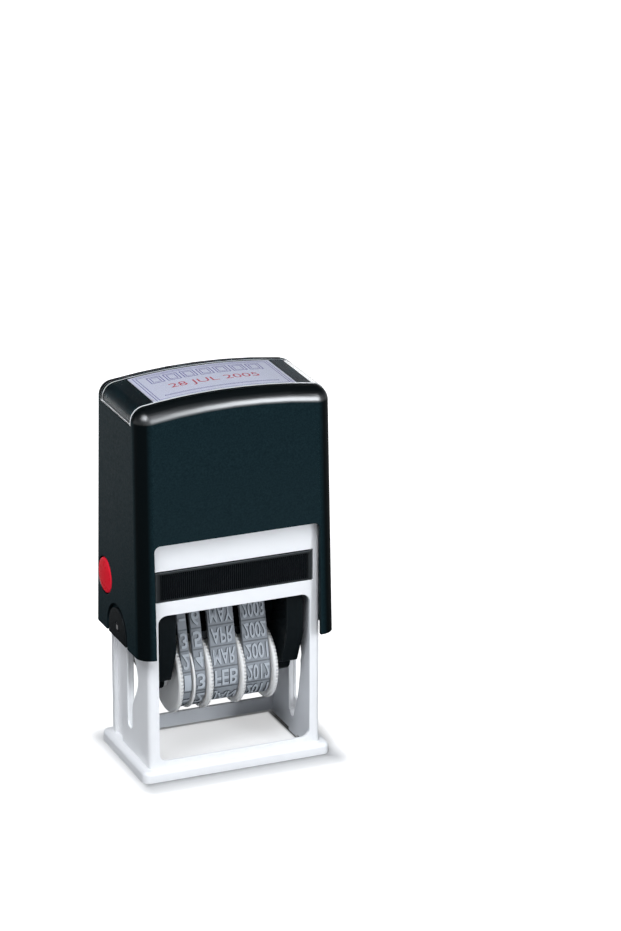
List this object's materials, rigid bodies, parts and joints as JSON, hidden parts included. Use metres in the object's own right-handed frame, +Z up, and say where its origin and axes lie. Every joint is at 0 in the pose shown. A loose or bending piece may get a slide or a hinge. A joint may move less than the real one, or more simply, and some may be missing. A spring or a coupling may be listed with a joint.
{
  "type": "self-inking date stamp",
  "caption": "Self-inking date stamp: press-down cover, flipping rotor with text plate and adjustable date bands, pull-out ink pad tray, side lock buttons and clear index window.",
  "frame": {"origin": "middle of the base, on the table", "axes": "+X to the right along the width, -Y out of the open front where the date bands show, +Z up along the press stroke"},
  "size_m": [0.061, 0.0392, 0.1151],
  "materials": {
    "white_plastic": "semi-gloss moulded",
    "black_plastic": "fine-grained front, smoother edges",
    "card": "uncoated card",
    "clear_plastic": "clear polished",
    "red_plastic": "glossy",
    "steel": "bright drawn wire and rod",
    "tray_plastic": "ribbed satin",
    "pad_felt": "ink-soaked felt",
    "rotor_plastic": "satin moulded",
    "cushion_foam": "foam",
    "die_rubber": "matte rubber",
    "wheel_plastic": "satin moulded",
    "band_rubber": "matte moulded rubber"
  },
  "bodies": {
    "frame": {"base_frame": "white_plastic", "return_spring": "steel"},
    "cover": {"outer_cover": "black_plastic", "index_card": "card", "index_window": "clear_plastic", "flip_axle": "steel", "axle_caps": "rotor_plastic"},
    "left_button": {"left_lock_button": "red_plastic"},
    "right_button": {"right_lock_button": "red_plastic"},
    "pad": {"pad_tray": "tray_plastic", "ink_pad": "pad_felt"},
    "rotor": {"rotor_yoke": "rotor_plastic", "die_cushion": "cushion_foam", "text_die": "die_rubber", "band_bridge": "wheel_plastic", "cam_pins": "steel", "wheel_axle": "steel", "wheel_axle_clips": "steel", "left_spacer": "wheel_plastic", "right_spacer": "wheel_plastic", "day_divider": "wheel_plastic", "day_tens_band": "band_rubber", "day_units_band": "band_rubber", "month_band": "band_rubber", "year_band": "band_rubber"},
    "tens_wheel": {"day_tens_wheel": "wheel_plastic"},
    "units_wheel": {"day_units_wheel": "wheel_plastic"},
    "months_wheel": {"month_wheel": "wheel_plastic"},
    "years_wheel": {"year_wheel": "wheel_plastic"}
  },
  "joints": [
    {"name": "press", "type": "slide", "parent": "frame", "child": "cover", "axis": [0, 0, -1], "range_m": [0, 0.0305], "stiffness_N_per_m": 600, "springref_m": -0.015, "deforming": ["return_spring"]},
    {"name": "flip", "type": "hinge", "parent": "cover", "child": "rotor", "pos_m": [0, 0, 0.0426], "axis": [1, 0, 0], "range_deg": [0, 180]},
    {"name": "pad_pull", "type": "slide", "parent": "frame", "child": "pad", "axis": [0, -1, 0], "range_m": [0, 0.046]},
    {"name": "left_lock", "type": "slide", "parent": "cover", "child": "left_button", "axis": [1, 0, 0], "range_m": [0, 0.0012], "stiffness_N_per_m": 1000, "springref_m": -0.0005},
    {"name": "right_lock", "type": "slide", "parent": "cover", "child": "right_button", "axis": [-1, 0, 0], "range_m": [0, 0.0012], "stiffness_N_per_m": 1000, "springref_m": -0.0005},
    {"name": "day_tens_turn", "type": "hinge", "parent": "rotor", "child": "tens_wheel", "pos_m": [0, 0, 0.0256], "axis": [1, 0, 0], "continuous": true},
    {"name": "day_units_turn", "type": "hinge", "parent": "rotor", "child": "units_wheel", "pos_m": [0, 0, 0.0256], "axis": [1, 0, 0], "continuous": true},
    {"name": "month_turn", "type": "hinge", "parent": "rotor", "child": "months_wheel", "pos_m": [0, 0, 0.0256], "axis": [1, 0, 0], "continuous": true},
    {"name": "year_turn", "type": "hinge", "parent": "rotor", "child": "years_wheel", "pos_m": [0, 0, 0.0256], "axis": [1, 0, 0], "continuous": true}
  ],
  "couplings": [
    {"joint": "flip", "follows": "press", "rad_per_m": 103}
  ]
}
